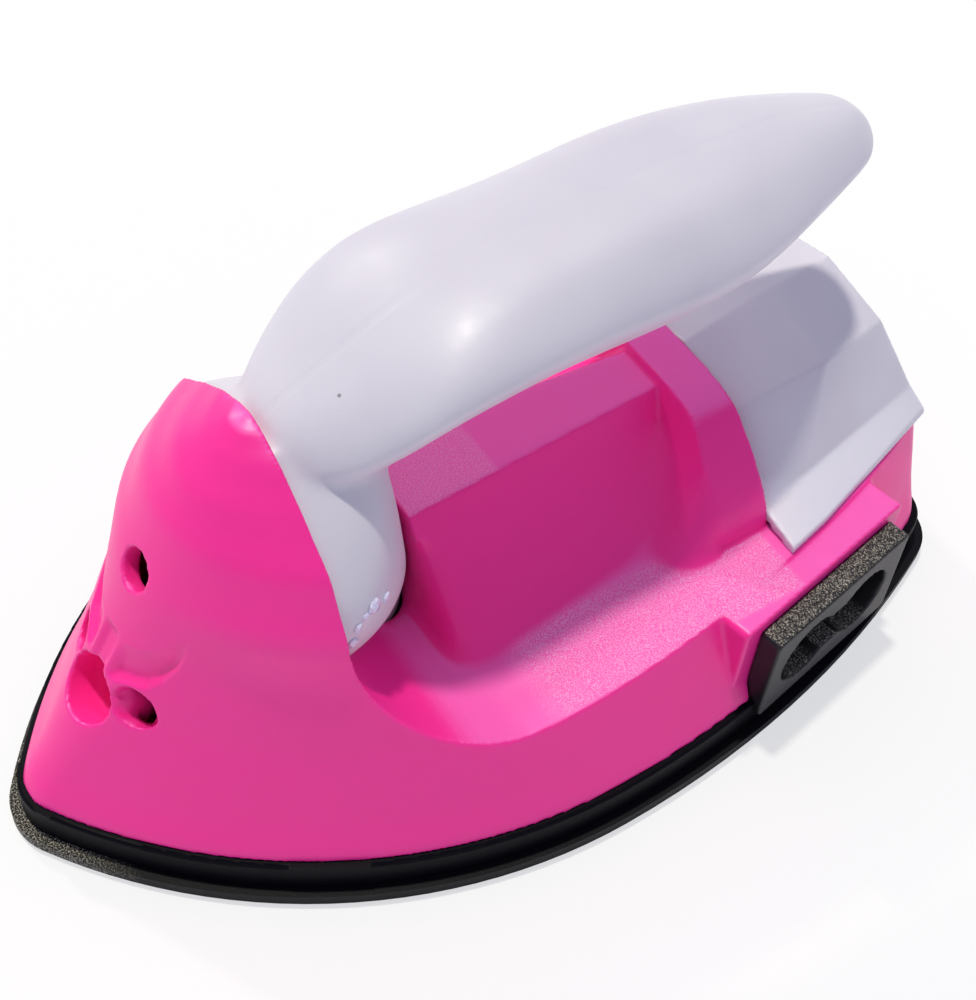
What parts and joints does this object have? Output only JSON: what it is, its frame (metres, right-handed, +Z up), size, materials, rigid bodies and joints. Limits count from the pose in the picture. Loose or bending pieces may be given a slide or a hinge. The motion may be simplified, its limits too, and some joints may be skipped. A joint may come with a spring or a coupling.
{
  "type": "mini craft iron",
  "caption": "Small craft iron with a boat-shaped pink housing, arched prow, white grip, faceted white rear cover and a mains inlet in its side",
  "frame": {"origin": "on the middle plane, midway along the base, at the ironing face", "axes": "-Y towards the nose, +Y towards the tail, +X towards the side with the mains inlet, +Z up from the ironing face"},
  "size_m": [0.0592, 0.1002, 0.0544],
  "materials": {
    "pink_plastic": "gloss, spark-eroded texture on the shoulder and on the ridge's top",
    "white_plastic": "satin",
    "black_plastic": "fine grained",
    "coated_alloy": "cast aluminium under a dark non-stick coating",
    "steel": "zinc plated",
    "brass": "nickel plated",
    "electrode_metal": "tinned",
    "ceramic": "matt fired ceramic",
    "insulation": "mica and pressed fibre",
    "sleeving": "woven glass fibre",
    "blue_insulation": "satin",
    "red_insulation": "satin"
  },
  "bodies": {
    "root": {"sole_plate": "coated_alloy", "base_skirt": "black_plastic", "base_screws": "steel", "hull_shell": "pink_plastic", "handle_port_half": "white_plastic", "handle_starboard_half": "white_plastic", "handle_plate": "steel", "handle_screws": "steel", "rear_cover": "white_plastic", "inlet_housing": "black_plastic", "inlet_pins": "brass", "inlet_terminals": "brass", "insulation_sheets": "insulation", "heater_electrodes": "electrode_metal", "heater_element": "ceramic", "heater_clamp": "steel", "clamp_screws": "steel", "heat_shield": "insulation", "thermal_fuse": "electrode_metal", "fuse_sleeve": "sleeving", "fuse_clip": "steel", "clip_screws": "steel", "wire_crimps": "electrode_metal", "wire_neutral": "blue_insulation", "wire_live": "red_insulation", "wire_link": "red_insulation"}
  },
  "joints": []
}
